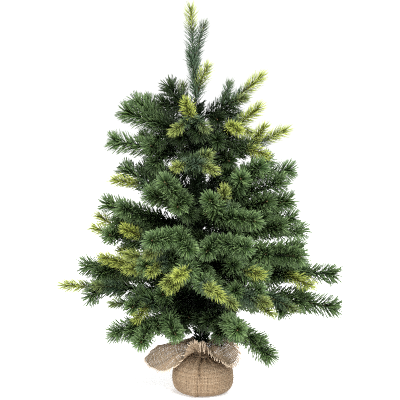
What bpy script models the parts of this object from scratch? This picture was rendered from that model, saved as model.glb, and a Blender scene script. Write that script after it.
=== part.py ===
"""Artificial tabletop tree in a gathered hessian wrap, as separate solids.

Frame: metres, +Z up. The origin is on the table under the centre of the pot.
The front of the tree faces -Y, and azimuths are measured from +X towards +Y.

The steel pole stands in a weighted pot and leans a little to the left. Every
branch is one length of twisted wire with its tips, and it bends at its root:
its object has its origin on the line that it bends about.
"""

import math

import bmesh
import bpy
from mathutils import Matrix, Vector

MM = 0.001

# Driving dimensions of the whole tree
POLE_TOP = 0.449
POLE_LEAN = 0.0225
GAP = 0.0003

# Pot, weight and pole
POT_RIM_RADIUS = 0.0430
POT_BELLY_RADIUS = 0.0410
POT_FOOT_RADIUS = 0.0330
POT_BELLY_HEIGHT = 0.0090
POT_HEIGHT = 0.0360
POT_WALL = 0.0016
WEIGHT_TOP = 0.0320
POLE_RADIUS = 0.0035
TAPE_WALL = 0.0010
TAPE_START = 0.120
GARLAND_START = 0.071
GARLAND_END = 0.116
GARLAND_RADIUS = 0.012

# Hessian wrap
WRAP_RADIUS = 0.0485
WRAP_CORNER = 0.013
WRAP_WALL = 0.0014
WRAP_FOOT_RADIUS = 0.034
WRAP_BELLY_HEIGHT = 0.026
NECK_HEIGHT = 0.0590
NECK_BAND = 0.0036
NECK_RADIUS = 0.0145
FLARE_CREST = 0.076
TIE_RADIUS = 0.0011

# The pot stands on the wrap's foot
POT_BASE = WRAP_WALL + GAP

# Branch wires and tips
ROOT_GAP = 0.0014
STEM_RADIUS = 0.0014
FORK_RADIUS = 0.0024
TIP_RADIUS = {"pvc": 0.0040, "pe": 0.0033}
TUBE_SIDES = 6

# Materials: base colour, metallic, roughness
MATERIALS = {
    "cement": ((0.45, 0.44, 0.41), 0.0, 0.90),
    "pot_plastic": ((0.10, 0.09, 0.08), 0.0, 0.50),
    "steel": ((0.42, 0.42, 0.43), 1.0, 0.40),
    "green_tape": ((0.02, 0.05, 0.02), 0.0, 0.60),
    "hessian": ((0.42, 0.27, 0.14), 0.0, 0.95),
    "jute_twine": ((0.45, 0.30, 0.17), 0.0, 0.90),
    "pvc_needles": ((0.02, 0.10, 0.03), 0.0, 0.50),
    "pe_needles": ((0.10, 0.18, 0.04), 0.0, 0.45),
}

# Each branch: root height, azimuth of its plane, then its tips. The first tip ends
# the main wire: kind, out, side, up. The others fork from it: kind, fork, out, side,
# up. Fork is the share of the main wire's length; out, side and up are the tip's
# end from the root in millimetres, with side to the left when seen from the pole.
BRANCHES = (
    # Lowest tier
    (134, -145, ("pvc", 170, 0, -22), ("pvc", 0.45, 145, 50, -32), ("pvc", 0.30, 105, 75, -6)),
    (139, -50, ("pvc", 175, -8, -54), ("pvc", 0.35, 150, -70, 8)),
    (140, 60, ("pvc", 190, 5, -25), ("pe", 0.40, 150, 55, -10), ("pe", 0.45, 155, -45, -25)),
    (144, 120, ("pvc", 185, -10, -30), ("pvc", 0.40, 145, 50, -22)),
    # Second tier
    (154, 210, ("pe", 165, 0, 2), ("pe", 0.45, 130, 45, -10)),
    (162, 182, ("pe", 225, 0, 10), ("pe", 0.45, 172, 38, 16), ("pe", 0.50, 175, -35, 8)),
    (166, -8, ("pvc", 222, -8, -26), ("pvc", 0.45, 172, 18, -10), ("pe", 0.35, 150, -50, -12)),
    (169, 90, ("pvc", 205, 0, 0), ("pvc", 0.40, 165, 50, 5), ("pe", 0.45, 165, -48, 0)),
    (172, -50, ("pe", 150, 0, 3), ("pe", 0.50, 155, 5, -17)),
    (176, 150, ("pvc", 200, 0, 5), ("pe", 0.40, 155, 45, 10), ("pe", 0.50, 160, -40, -10)),
    (182, -80, ("pe", 190, -28, 28), ("pe", 0.70, 188, -6, 12), ("pe", 0.30, 150, 30, -20)),
    (184, 35, ("pvc", 215, 0, -5), ("pe", 0.40, 165, 45, 0), ("pe", 0.45, 170, -45, 5)),
    (191, 176, ("pvc", 193, 12, 10), ("pe", 0.35, 152, 62, 34), ("pe", 0.30, 132, 25, 42)),
    (196, 0, ("pvc", 223, 0, -10), ("pe", 0.40, 168, -62, -6)),
    (202, -100, ("pe", 190, 8, 28), ("pe", 0.50, 172, -18, 8), ("pe", 0.55, 168, -20, -14)),
    # Third tier
    (204, -45, ("pe", 135, -8, 12), ("pvc", 0.40, 120, 35, -10)),
    (210, 115, ("pvc", 185, 0, 10), ("pe", 0.40, 145, 45, 20), ("pe", 0.45, 150, -45, 5)),
    (212, -135, ("pe", 150, 0, 12), ("pe", 0.45, 130, -40, 18), ("pe", 0.40, 140, 48, 10)),
    (218, -18, ("pvc", 172, 0, 20), ("pvc", 0.45, 178, -30, 8), ("pvc", 0.30, 150, 28, 4)),
    (222, 70, ("pe", 180, 0, 15), ("pe", 0.40, 145, 45, 25), ("pe", 0.45, 145, -45, 10)),
    (226, 185, ("pe", 175, 5, 40), ("pe", 0.50, 166, -24, 58), ("pe", 0.35, 124, 56, 46)),
    (236, -68, ("pvc", 168, 0, 30), ("pvc", 0.35, 122, -34, 14)),
    (242, 8, ("pvc", 160, -10, 36), ("pvc", 0.40, 180, 24, 6), ("pvc", 0.35, 132, -48, 26)),
    (246, -112, ("pvc", 170, 0, 30), ("pe", 0.40, 146, -20, -2), ("pvc", 0.40, 138, 34, 8)),
    (250, 145, ("pvc", 165, 0, 15), ("pe", 0.40, 130, 42, 22), ("pe", 0.45, 138, -35, 12)),
    # Fourth tier
    (258, 180, ("pvc", 155, 8, 46), ("pvc", 0.30, 122, 68, 44)),
    (262, 42, ("pvc", 160, 0, 25), ("pe", 0.40, 125, 42, 30), ("pe", 0.45, 130, -36, 20)),
    (266, 95, ("pvc", 160, 0, 20), ("pvc", 0.40, 125, 42, 25), ("pvc", 0.45, 128, -42, 30)),
    (274, -58, ("pvc", 150, 0, 26), ("pe", 0.35, 108, -24, 66), ("pvc", 0.35, 104, -52, 48)),
    (280, 0, ("pvc", 152, -12, 27), ("pvc", 0.40, 113, -44, 30), ("pvc", 0.45, 125, 32, 20)),
    (284, -118, ("pvc", 130, 8, 65), ("pvc", 0.40, 104, 28, 28), ("pvc", 0.40, 108, -40, 38)),
    (294, 172, ("pvc", 126, 8, 66), ("pvc", 0.35, 98, -27, 66), ("pe", 0.45, 136, 38, 44)),
    (298, -15, ("pvc", 143, 0, 42), ("pvc", 0.30, 82, -60, 52)),
    # Fifth tier
    (304, 60, ("pe", 130, 0, 40), ("pe", 0.40, 100, 38, 40), ("pe", 0.45, 102, -36, 30)),
    (310, 125, ("pvc", 138, 0, 42), ("pvc", 0.40, 100, 40, 45), ("pe", 0.45, 108, -34, 35)),
    (330, -4, ("pvc", 155, -6, 24), ("pvc", 0.35, 117, 12, 44), ("pvc", 0.35, 104, -46, 34)),
    (340, 90, ("pvc", 112, 0, 48), ("pe", 0.40, 84, 34, 48), ("pe", 0.45, 88, -32, 40)),
    (356, -88, ("pe", 118, -32, 20), ("pe", 0.40, 120, 20, 12), ("pe", 0.30, 82, 22, 28)),
    # Top tiers
    (364, 0, ("pe", 145, -8, 53), ("pe", 0.50, 106, -34, 62), ("pe", 0.40, 104, -40, 20)),
    (372, 180, ("pvc", 142, 8, 27), ("pvc", 0.35, 90, -34, 32), ("pvc", 0.35, 78, 34, 22)),
    (380, 55, ("pe", 105, 0, 45), ("pe", 0.40, 80, 32, 48), ("pe", 0.45, 84, -28, 36)),
    (389, -18, ("pe", 105, 10, 66), ("pe", 0.40, 75, -52, 36), ("pe", 0.45, 88, -14, 28)),
    (394, 125, ("pvc", 95, 0, 50), ("pe", 0.40, 70, -30, 50), ("pe", 0.45, 74, 28, 36)),
    (404, 178, ("pvc", 122, 12, 43), ("pvc", 0.35, 105, -8, 61), ("pvc", 0.30, 86, -32, 60)),
    (412, -100, ("pe", 77, -5, 52), ("pe", 0.30, 88, -18, 8), ("pe", 0.30, 72, 26, 12)),
    (426, -8, ("pe", 107, 5, 76), ("pe", 0.30, 52, 12, 68), ("pe", 0.40, 87, -20, 38)),
    (432, 140, ("pvc", 58, 8, 58), ("pe", 0.35, 34, -10, 60)),
)

# The shoot at the top: its tip's place from the pole top, then its sprigs as fork,
# and out along X, along Y and up, in millimetres.
LEADER_TIP = (-9, 0, 160)
LEADER_SPRIGS = (
    (0.45, 16, -6, 134),
    (0.08, 22, -12, 70),
    (0.40, -14, 4, 92),
    (0.15, 2, 26, 78),
)


def clear_scene():
    for old in list(bpy.data.objects):
        bpy.data.objects.remove(old, do_unlink=True)


def make_material(name):
    colour, metallic, roughness = MATERIALS[name]
    material = bpy.data.materials.new(name)
    material.use_nodes = True
    shader = material.node_tree.nodes["Principled BSDF"]
    shader.inputs["Base Color"].default_value = (*colour, 1.0)
    shader.inputs["Metallic"].default_value = metallic
    shader.inputs["Roughness"].default_value = roughness
    material.diffuse_color = (*colour, 1.0)
    return material


def add_object(name, mesh, material, smooth=True):
    mesh.name = name
    mesh.materials.clear()
    mesh.materials.append(material)
    if smooth:
        mesh.shade_smooth()
        mesh.set_sharp_from_angle(angle=math.radians(50))
    part = bpy.data.objects.new(name, mesh)
    bpy.context.scene.collection.objects.link(part)
    return part


def mesh_from(bm):
    bmesh.ops.recalc_face_normals(bm, faces=bm.faces)
    mesh = bpy.data.meshes.new("piece")
    bm.to_mesh(mesh)
    bm.free()
    return mesh


# --- Shapes -------------------------------------------------------------------


def ring_stack(rings, closed_ends=True):
    """A closed tube through rings of equal length, each a list of points."""
    bm = bmesh.new()
    rows = [[bm.verts.new(point) for point in ring] for ring in rings]
    for low, high in zip(rows, rows[1:]):
        for k in range(len(low)):
            after = (k + 1) % len(low)
            bm.faces.new((low[k], low[after], high[after], high[k]))
    if closed_ends:
        bm.faces.new(rows[0][::-1])
        bm.faces.new(rows[-1])
    return mesh_from(bm)


def bezier(start, control, end, t):
    return start * (1 - t) ** 2 + control * (2 * t * (1 - t)) + end * t**2


def tube_along(curve, rings):
    """A six-sided tube: curve(t) is its centre line, rings are (t, radius)."""
    rows = []
    step = 0.001
    previous = Vector((0, 0, 1))
    for t, radius in rings:
        ahead = curve(min(t + step, 1.0)) - curve(max(t - step, 0.0))
        tangent = ahead.normalized()
        across = (previous - tangent * previous.dot(tangent)).normalized()
        beside = tangent.cross(across)
        centre = curve(t)
        row = []
        for k in range(TUBE_SIDES):
            angle = math.tau * k / TUBE_SIDES
            row.append(centre + (across * math.cos(angle) + beside * math.sin(angle)) * radius)
        rows.append(row)
        previous = across
    return ring_stack(rows)


def union(meshes):
    """One closed body from overlapping closed meshes."""
    base = bpy.data.objects.new("base", meshes[0])
    bpy.context.scene.collection.objects.link(base)
    helpers = []
    for mesh in meshes[1:]:
        helper = bpy.data.objects.new("helper", mesh)
        bpy.context.scene.collection.objects.link(helper)
        helpers.append(helper)
        join = base.modifiers.new("join", "BOOLEAN")
        join.operation = "UNION"
        join.solver = "EXACT"
        join.object = helper
    bpy.context.view_layer.update()
    evaluated = base.evaluated_get(bpy.context.evaluated_depsgraph_get())
    result = bpy.data.meshes.new_from_object(evaluated)
    for used in [base, *helpers]:
        bpy.data.objects.remove(used, do_unlink=True)
    return result


# --- The pole's line ----------------------------------------------------------


def pole_point(height):
    """The pole's axis at a height: it leans to -X."""
    return Vector((-POLE_LEAN * height, 0.0, height))


def pole_tube(radius, low, high, inner=None):
    """A round bar or sleeve along the leaning pole between two heights."""
    outline = [(radius, low), (radius, high)]
    if inner is not None:
        outline += [(inner, high), (inner, low)]
    rows = [circle_row(r, height, 20, True) for r, height in outline]
    if inner is None:
        return ring_stack(rows)
    return ring_stack(rows + rows[:1], closed_ends=False)


# --- Base ---------------------------------------------------------------------


def circle_row(radius, height, sides, on_pole=False):
    """Points of a level circle about the pot's axis, or about the leaning pole's."""
    centre = pole_point(height) if on_pole else Vector((0.0, 0.0, height))
    row = []
    for k in range(sides):
        angle = math.tau * k / sides
        row.append(centre + Vector((radius * math.cos(angle), radius * math.sin(angle), 0.0)))
    return row


def pot_outline(inset, low, high):
    """The pot's outline, moved in by an inset, between two heights over its foot."""
    slope = (POT_BELLY_RADIUS - POT_FOOT_RADIUS) / POT_BELLY_HEIGHT
    rim_slope = (POT_RIM_RADIUS - POT_BELLY_RADIUS) / (POT_HEIGHT - POT_BELLY_HEIGHT)
    slant = math.hypot(1.0, slope)
    belly = POT_BELLY_HEIGHT + inset * (slant - 1.0) / slope
    foot_radius = POT_FOOT_RADIUS + slope * low - inset * slant
    belly_radius = POT_BELLY_RADIUS + rim_slope * (belly - POT_BELLY_HEIGHT) - inset
    high_radius = POT_BELLY_RADIUS + rim_slope * (high - POT_BELLY_HEIGHT) - inset
    return [(foot_radius, low), (belly_radius, belly), (high_radius, high)]


def make_pot():
    """A plastic cup with a chamfered foot."""
    outer = pot_outline(0.0, 0.0, POT_HEIGHT)
    inner = pot_outline(POT_WALL, POT_WALL, POT_HEIGHT)
    outline = outer + inner[::-1]
    return ring_stack([circle_row(radius, POT_BASE + height, 40) for radius, height in outline])


def make_weight():
    """Cement cast in the pot around the pole's foot, with a through hole for it."""
    low = POT_WALL + GAP
    outline = pot_outline(POT_WALL + 2 * GAP, low, WEIGHT_TOP)
    hole = POLE_RADIUS + GAP
    rows = [circle_row(radius, POT_BASE + height, 32) for radius, height in outline]
    rows += [circle_row(hole, POT_BASE + height, 32, True) for height in (WEIGHT_TOP, low)]
    return ring_stack(rows + rows[:1], closed_ends=False)


def collar_edge(angle):
    """Reach and height of the cloth's free edge: it flops far out on the left, less
    on the right, and hangs low in front."""
    left = math.exp(-(((angle - math.radians(187)) / math.radians(24)) ** 2))
    right = math.exp(-(((math.remainder(angle + math.radians(12), math.tau)) / math.radians(38)) ** 2))
    front = math.exp(-(((angle - math.radians(270)) / math.radians(30)) ** 2))
    back = math.exp(-(((angle - math.radians(95)) / math.radians(35)) ** 2))
    reach = 0.036 + 0.052 * left + 0.018 * right + 0.004 * front + 0.016 * back
    height = 0.066 - 0.022 * left - 0.014 * right - 0.004 * front - 0.012 * back
    return reach, height


def wrap_outline(angle):
    """Outer outline of the wrap in one vertical half plane, from the foot up to the
    neck and out to the free edge."""
    points = [(WRAP_FOOT_RADIUS, 0.0)]
    for k in range(1, 4):
        turn = math.radians(90) * k / 3
        out = (WRAP_RADIUS - WRAP_FOOT_RADIUS) * math.sin(turn)
        points.append((WRAP_FOOT_RADIUS + out, WRAP_CORNER * (1 - math.cos(turn))))
    points.append((WRAP_RADIUS, WRAP_BELLY_HEIGHT))
    for share in (0.35, 0.70, 0.90):
        turn = math.radians(90) * share
        waist = WRAP_RADIUS - NECK_RADIUS
        rise = NECK_HEIGHT - 0.002 - WRAP_BELLY_HEIGHT
        out = NECK_RADIUS + waist * math.cos(turn) ** 0.7
        points.append((out, WRAP_BELLY_HEIGHT + rise * math.sin(turn)))
    points.append((NECK_RADIUS, NECK_HEIGHT - NECK_BAND / 2))
    points.append((NECK_RADIUS, NECK_HEIGHT + NECK_BAND / 2))
    reach, height = collar_edge(angle)
    points.append((NECK_RADIUS + 0.004, NECK_HEIGHT + 0.007))
    points.append((NECK_RADIUS + 0.3 * (reach - NECK_RADIUS), FLARE_CREST - 0.002))
    points.append((NECK_RADIUS + 0.6 * (reach - NECK_RADIUS), FLARE_CREST - 0.002))
    points.append((reach, height))
    return points


def offset_inward(points, wall):
    """The same outline one cloth thickness further in."""
    moved = []
    for k, (radius, height) in enumerate(points):
        before = points[max(k - 1, 0)]
        after = points[min(k + 1, len(points) - 1)]
        run = Vector((after[0] - before[0], after[1] - before[1])).normalized()
        moved.append((radius - run.y * wall, height + run.x * wall))
    moved[0] = (points[0][0], wall)
    return moved


def make_wrap():
    """The hessian: a flat foot, a round body, a pinched neck and a flared collar."""
    sides = 48
    bm = bmesh.new()
    outer_rows, inner_rows = [], []
    for k in range(sides):
        angle = math.tau * k / sides
        outer = wrap_outline(angle)
        inner = offset_inward(outer, WRAP_WALL)
        for rows, outline in ((outer_rows, outer), (inner_rows, inner)):
            rows.append(
                [bm.verts.new((r * math.cos(angle), r * math.sin(angle), z)) for r, z in outline]
            )
    for rows in (outer_rows, inner_rows):
        for here, there in zip(rows, rows[1:] + rows[:1]):
            for k in range(len(here) - 1):
                bm.faces.new((here[k], there[k], there[k + 1], here[k + 1]))
    for k in range(sides):
        after = (k + 1) % sides
        bm.faces.new(
            (outer_rows[k][-1], outer_rows[after][-1], inner_rows[after][-1], inner_rows[k][-1])
        )
    bm.faces.new([row[0] for row in outer_rows])
    bm.faces.new([row[0] for row in inner_rows])
    return mesh_from(bm)


def make_tie():
    """A twine ring that pinches the neck."""
    middle = NECK_RADIUS + TIE_RADIUS + 2 * GAP
    rows = []
    for k in range(8):
        turn = math.tau * k / 8
        height = NECK_HEIGHT + TIE_RADIUS * math.sin(turn)
        rows.append(circle_row(middle + TIE_RADIUS * math.cos(turn), height, 32))
    return ring_stack(rows + rows[:1], closed_ends=False)


def make_garland():
    """The needle sleeve round the foot of the pole."""
    inner = POLE_RADIUS + GAP
    outline = [
        (0.0070, GARLAND_START),
        (GARLAND_RADIUS, GARLAND_START + 0.010),
        (GARLAND_RADIUS, GARLAND_END - 0.006),
        (0.0080, GARLAND_END),
        (inner, GARLAND_END),
        (inner, GARLAND_START),
    ]
    rows = [circle_row(radius, height, 20, True) for radius, height in outline]
    return ring_stack(rows + rows[:1], closed_ends=False)


# --- Branches -----------------------------------------------------------------


def branch_frame(azimuth):
    """Unit vectors outward, to the left seen from the pole, and up."""
    turn = math.radians(azimuth)
    outward = Vector((math.cos(turn), math.sin(turn), 0.0))
    left = Vector((-math.sin(turn), math.cos(turn), 0.0))
    return outward, left, Vector((0.0, 0.0, 1.0))


def branch_root(height, azimuth):
    """Where the wire leaves the taped pole, and the branch bends."""
    outward = branch_frame(azimuth)[0]
    return pole_point(height * MM) + outward * (POLE_RADIUS + TAPE_WALL + ROOT_GAP)


def main_curve(root, end):
    """The main wire: a slight sag on a rising branch, a slight arch on a drooping one."""
    rise = end.z - root.z
    control = (root + end) * 0.5 - Vector((0, 0, 0.16 * rise))
    return lambda t: bezier(root, control, end, t)


def side_curve(main, fork, end):
    """A side wire: it leaves the main wire at a slant and straightens to its tip."""
    start = main(fork)
    along = (main(min(fork + 0.1, 1.0)) - start).normalized()
    reach = end - start
    control = start + reach * 0.35 + along * (0.12 * reach.length)
    return lambda t: bezier(start, control, end, t)


def main_rings(kind, first_fork):
    thick = TIP_RADIUS[kind]
    swell = min(first_fork + 0.14, 0.8)
    return (
        (0.0, STEM_RADIUS),
        (first_fork - 0.04, FORK_RADIUS),
        (swell, thick),
        (0.86, thick * 0.9),
        (0.96, thick * 0.65),
        (1.0, thick * 0.25),
    )


def side_rings(kind):
    thick = TIP_RADIUS[kind]
    return (
        (0.0, STEM_RADIUS * 0.8),
        (0.34, thick * 0.9),
        (0.62, thick),
        (0.90, thick * 0.72),
        (1.0, thick * 0.25),
    )


def branch_tubes(row):
    """Centre line and rings of each wire of a branch, the main one first."""
    height, azimuth, main_tip, *side_tips = row
    outward, left, up = branch_frame(azimuth)
    axis = pole_point(height * MM)

    def place(out, side, rise):
        return axis + (outward * out + left * side + up * rise) * MM

    kind, *offset = main_tip
    main = main_curve(branch_root(height, azimuth), place(*offset))
    first_fork = min([tip[1] for tip in side_tips], default=0.4)
    tubes = [(main, main_rings(kind, first_fork))]
    for kind, fork, *offset in side_tips:
        tubes.append((side_curve(main, fork, place(*offset)), side_rings(kind)))
    return tubes


def branch_name(number):
    return f"branch_{number:02d}"


def add_branch(number, row, materials):
    height, azimuth, *tips = row
    mesh = union([tube_along(curve, rings) for curve, rings in branch_tubes(row)])
    root = branch_root(height, azimuth)
    mesh.transform(Matrix.Translation(-root))
    soft = sum(1 for tip in tips if tip[0] == "pe")
    material = materials["pe_needles" if 2 * soft > len(tips) else "pvc_needles"]
    part = add_object(branch_name(number), mesh, material)
    part.location = root
    return part


def leader_tubes():
    """Centre line and rings of the top shoot and its sprigs."""
    root = pole_point(POLE_TOP) + Vector((0, 0, ROOT_GAP))
    base = pole_point(POLE_TOP)
    end = base + Vector(LEADER_TIP) * MM
    main = main_curve(root, end)
    thick = TIP_RADIUS["pe"]
    rings = (
        (0.0, 0.0022),
        (0.12, thick),
        (0.5, thick),
        (0.86, thick * 0.9),
        (0.96, thick * 0.65),
        (1.0, thick * 0.25),
    )
    tubes = [(main, rings)]
    for fork, x, y, rise in LEADER_SPRIGS:
        curve = side_curve(main, fork, base + Vector((x, y, rise)) * MM)
        tubes.append((curve, side_rings("pe")))
    return tubes


def add_leader(materials):
    mesh = union([tube_along(curve, rings) for curve, rings in leader_tubes()])
    root = pole_point(POLE_TOP)
    mesh.transform(Matrix.Translation(-root))
    part = add_object("leader_shoot", mesh, materials["pe_needles"])
    part.location = root


def main():
    clear_scene()
    materials = {name: make_material(name) for name in MATERIALS}
    foot = POT_BASE + POT_WALL + GAP
    add_object("base_weight", make_weight(), materials["cement"])
    add_object("base_pot", make_pot(), materials["pot_plastic"])
    add_object("hessian_wrap", make_wrap(), materials["hessian"])
    add_object("wrap_tie", make_tie(), materials["jute_twine"])
    add_object("trunk_pole", pole_tube(POLE_RADIUS, foot, POLE_TOP), materials["steel"])
    sleeve = pole_tube(POLE_RADIUS + TAPE_WALL, TAPE_START, POLE_TOP - 0.002, POLE_RADIUS + GAP)
    add_object("trunk_tape", sleeve, materials["green_tape"])
    add_object("trunk_garland", make_garland(), materials["pvc_needles"])
    for number, row in enumerate(BRANCHES, start=1):
        add_branch(number, row, materials)
    add_leader(materials)


main()
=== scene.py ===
"""Looks of the artificial tabletop tree: needles on every wire, the gathered hessian
wrap with its frayed edge, and the twine tie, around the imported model.

Frame: metres, +Z up, origin on the table under the pot, front towards -Y. Azimuths
are measured from +X towards +Y.
"""

import math

import bpy
import numpy as np
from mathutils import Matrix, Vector


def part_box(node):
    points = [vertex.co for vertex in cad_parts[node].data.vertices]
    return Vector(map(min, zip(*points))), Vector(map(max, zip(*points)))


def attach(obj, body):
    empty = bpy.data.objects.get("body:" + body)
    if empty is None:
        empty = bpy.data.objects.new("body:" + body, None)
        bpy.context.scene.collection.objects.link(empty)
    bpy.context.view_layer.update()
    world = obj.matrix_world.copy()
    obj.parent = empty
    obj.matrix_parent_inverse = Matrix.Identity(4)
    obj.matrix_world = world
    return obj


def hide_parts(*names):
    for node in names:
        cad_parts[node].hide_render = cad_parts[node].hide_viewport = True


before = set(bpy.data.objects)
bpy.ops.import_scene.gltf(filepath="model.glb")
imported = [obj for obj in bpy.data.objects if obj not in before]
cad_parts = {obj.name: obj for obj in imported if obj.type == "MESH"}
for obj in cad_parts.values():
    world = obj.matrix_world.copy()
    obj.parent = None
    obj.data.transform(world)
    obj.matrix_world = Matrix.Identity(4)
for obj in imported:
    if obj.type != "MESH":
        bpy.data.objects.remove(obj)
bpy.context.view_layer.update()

MM = 0.001
UP = np.array([0.0, 0.0, 1.0])
GOLDEN_ANGLE = math.radians(137.508)
SEED = 20

# The pole and the branch roots, as in the CAD model
POLE_TOP = 0.449
POLE_LEAN = 0.0225
POLE_RADIUS = 0.0035
TAPE_WALL = 0.0010
ROOT_GAP = 0.0014

# Each branch, with the wires of the CAD model: root height, azimuth of its plane, then
# its tips, in mm. The first tip ends the main wire: kind, out, side, up. The others fork
# from it: kind, fork, out, side, up. A moulded (pe) tip also has how lime its growth is.
BRANCHES = (
    # Lowest tier
    (134, -145, ("pvc", 170, 0, -22), ("pvc", 0.45, 145, 50, -32), ("pvc", 0.30, 105, 75, -6)),
    (139, -50, ("pvc", 175, -8, -54), ("pvc", 0.35, 150, -70, 8)),
    (140, 60, ("pvc", 190, 5, -25), ("pe", 0.40, 150, 55, -10, 0.3), ("pe", 0.45, 155, -45, -25, 0.3)),
    (144, 120, ("pvc", 185, -10, -30), ("pvc", 0.40, 145, 50, -22)),
    # Second tier
    (154, 210, ("pe", 165, 0, 2, 0.3), ("pe", 0.45, 130, 45, -10, 0.75)),
    (162, 182, ("pe", 225, 0, 10, 0.9), ("pe", 0.45, 172, 38, 16, 0.3), ("pe", 0.50, 175, -35, 8, 0.3)),
    (166, -8, ("pvc", 222, -8, -26), ("pvc", 0.45, 172, 18, -10), ("pe", 0.35, 150, -50, -12, 0.3)),
    (169, 90, ("pvc", 205, 0, 0), ("pvc", 0.40, 165, 50, 5), ("pe", 0.45, 165, -48, 0, 0.4)),
    (172, -50, ("pe", 150, 0, 3, 0.50), ("pe", 0.50, 155, 5, -17, 0.6)),
    (176, 150, ("pvc", 200, 0, 5), ("pe", 0.40, 155, 45, 10, 0.6), ("pe", 0.50, 160, -40, -10, 0.5)),
    (182, -80, ("pe", 190, -28, 28, 0.60), ("pe", 0.70, 188, -6, 12, 0.80), ("pe", 0.30, 150, 30, -20, 0.45)),
    (184, 35, ("pvc", 215, 0, -5), ("pe", 0.40, 165, 45, 0, 0.4), ("pe", 0.45, 170, -45, 5, 0.3)),
    (191, 176, ("pvc", 193, 12, 10), ("pe", 0.35, 152, 62, 34, 1.3), ("pe", 0.30, 132, 25, 42, 0.7)),
    (196, 0, ("pvc", 223, 0, -10), ("pe", 0.40, 168, -62, -6, 1.3)),
    (202, -100, ("pe", 190, 8, 28, 1.3), ("pe", 0.50, 172, -18, 8, 0.6), ("pe", 0.55, 168, -20, -14, 0.75)),
    # Third tier
    (204, -45, ("pe", 135, -8, 12, 0.75), ("pvc", 0.40, 120, 35, -10)),
    (210, 115, ("pvc", 185, 0, 10), ("pe", 0.40, 145, 45, 20, 0.5), ("pe", 0.45, 150, -45, 5, 0.3)),
    (212, -135, ("pe", 150, 0, 12, 0.75), ("pe", 0.45, 130, -40, 18, 0.6), ("pe", 0.40, 140, 48, 10, 0.7)),
    (218, -18, ("pvc", 172, 0, 20), ("pvc", 0.45, 178, -30, 8), ("pvc", 0.30, 150, 28, 4)),
    (222, 70, ("pe", 180, 0, 15, 0.4), ("pe", 0.40, 145, 45, 25, 0.3), ("pe", 0.45, 145, -45, 10, 0.3)),
    (226, 185, ("pe", 175, 5, 40, 0.95), ("pe", 0.50, 166, -24, 58, 0.85), ("pe", 0.35, 124, 56, 46, 0.9)),
    (236, -68, ("pvc", 168, 0, 30), ("pvc", 0.35, 122, -34, 14)),
    (242, 8, ("pvc", 160, -10, 36), ("pvc", 0.40, 180, 24, 6), ("pvc", 0.35, 132, -48, 26)),
    (246, -112, ("pvc", 170, 0, 30), ("pe", 0.40, 146, -20, -2, 0.5), ("pvc", 0.40, 138, 34, 8)),
    (250, 145, ("pvc", 165, 0, 15), ("pe", 0.40, 130, 42, 22, 0.5), ("pe", 0.45, 138, -35, 12, 0.4)),
    # Fourth tier
    (258, 180, ("pvc", 155, 8, 46), ("pvc", 0.30, 122, 68, 44)),
    (262, 42, ("pvc", 160, 0, 25), ("pe", 0.40, 125, 42, 30, 0.5), ("pe", 0.45, 130, -36, 20, 0.3)),
    (266, 95, ("pvc", 160, 0, 20), ("pvc", 0.40, 125, 42, 25), ("pvc", 0.45, 128, -42, 30)),
    (274, -58, ("pvc", 150, 0, 26), ("pe", 0.35, 108, -24, 66, 0.6), ("pvc", 0.35, 104, -52, 48)),
    (280, 0, ("pvc", 152, -12, 27), ("pvc", 0.40, 113, -44, 30), ("pvc", 0.45, 125, 32, 20)),
    (284, -118, ("pvc", 130, 8, 65), ("pvc", 0.40, 104, 28, 28), ("pvc", 0.40, 108, -40, 38)),
    (294, 172, ("pvc", 126, 8, 66), ("pvc", 0.35, 98, -27, 66), ("pe", 0.45, 136, 38, 44, 0.95)),
    (298, -15, ("pvc", 143, 0, 42), ("pvc", 0.30, 82, -60, 52)),
    # Fifth tier
    (304, 60, ("pe", 130, 0, 40, 0.4), ("pe", 0.40, 100, 38, 40, 0.4), ("pe", 0.45, 102, -36, 30, 0.3)),
    (310, 125, ("pvc", 138, 0, 42), ("pvc", 0.40, 100, 40, 45), ("pe", 0.45, 108, -34, 35, 0.4)),
    (330, -4, ("pvc", 155, -6, 24), ("pvc", 0.35, 117, 12, 44), ("pvc", 0.35, 104, -46, 34)),
    (340, 90, ("pvc", 112, 0, 48), ("pe", 0.40, 84, 34, 48, 0.5), ("pe", 0.45, 88, -32, 40, 0.4)),
    (356, -88, ("pe", 118, -32, 20, 0.6), ("pe", 0.40, 120, 20, 12, 0.55), ("pe", 0.30, 82, 22, 28, 0.4)),
    # Top tiers
    (364, 0, ("pe", 145, -8, 53, 0.85), ("pe", 0.50, 106, -34, 62, 0.9), ("pe", 0.40, 104, -40, 20, 0.85)),
    (372, 180, ("pvc", 142, 8, 27), ("pvc", 0.35, 90, -34, 32), ("pvc", 0.35, 78, 34, 22)),
    (380, 55, ("pe", 105, 0, 45, 0.5), ("pe", 0.40, 80, 32, 48, 0.3), ("pe", 0.45, 84, -28, 36, 0.3)),
    (389, -18, ("pe", 105, 10, 66, 0.95), ("pe", 0.40, 75, -52, 36, 1.3), ("pe", 0.45, 88, -14, 28, 0.6)),
    (394, 125, ("pvc", 95, 0, 50), ("pe", 0.40, 70, -30, 50, 0.4), ("pe", 0.45, 74, 28, 36, 0.3)),
    (404, 178, ("pvc", 122, 12, 43), ("pvc", 0.35, 105, -8, 61), ("pvc", 0.30, 86, -32, 60)),
    (412, -100, ("pe", 77, -5, 52, 1.1), ("pe", 0.30, 88, -18, 8, 0.55), ("pe", 0.30, 72, 26, 12, 0.3)),
    (426, -8, ("pe", 107, 5, 76, 0.85), ("pe", 0.30, 52, 12, 68, 0.1), ("pe", 0.40, 87, -20, 38, 0.4)),
    (432, 140, ("pvc", 58, 8, 58), ("pe", 0.35, 34, -10, 60, 0.3)),
)

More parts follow.
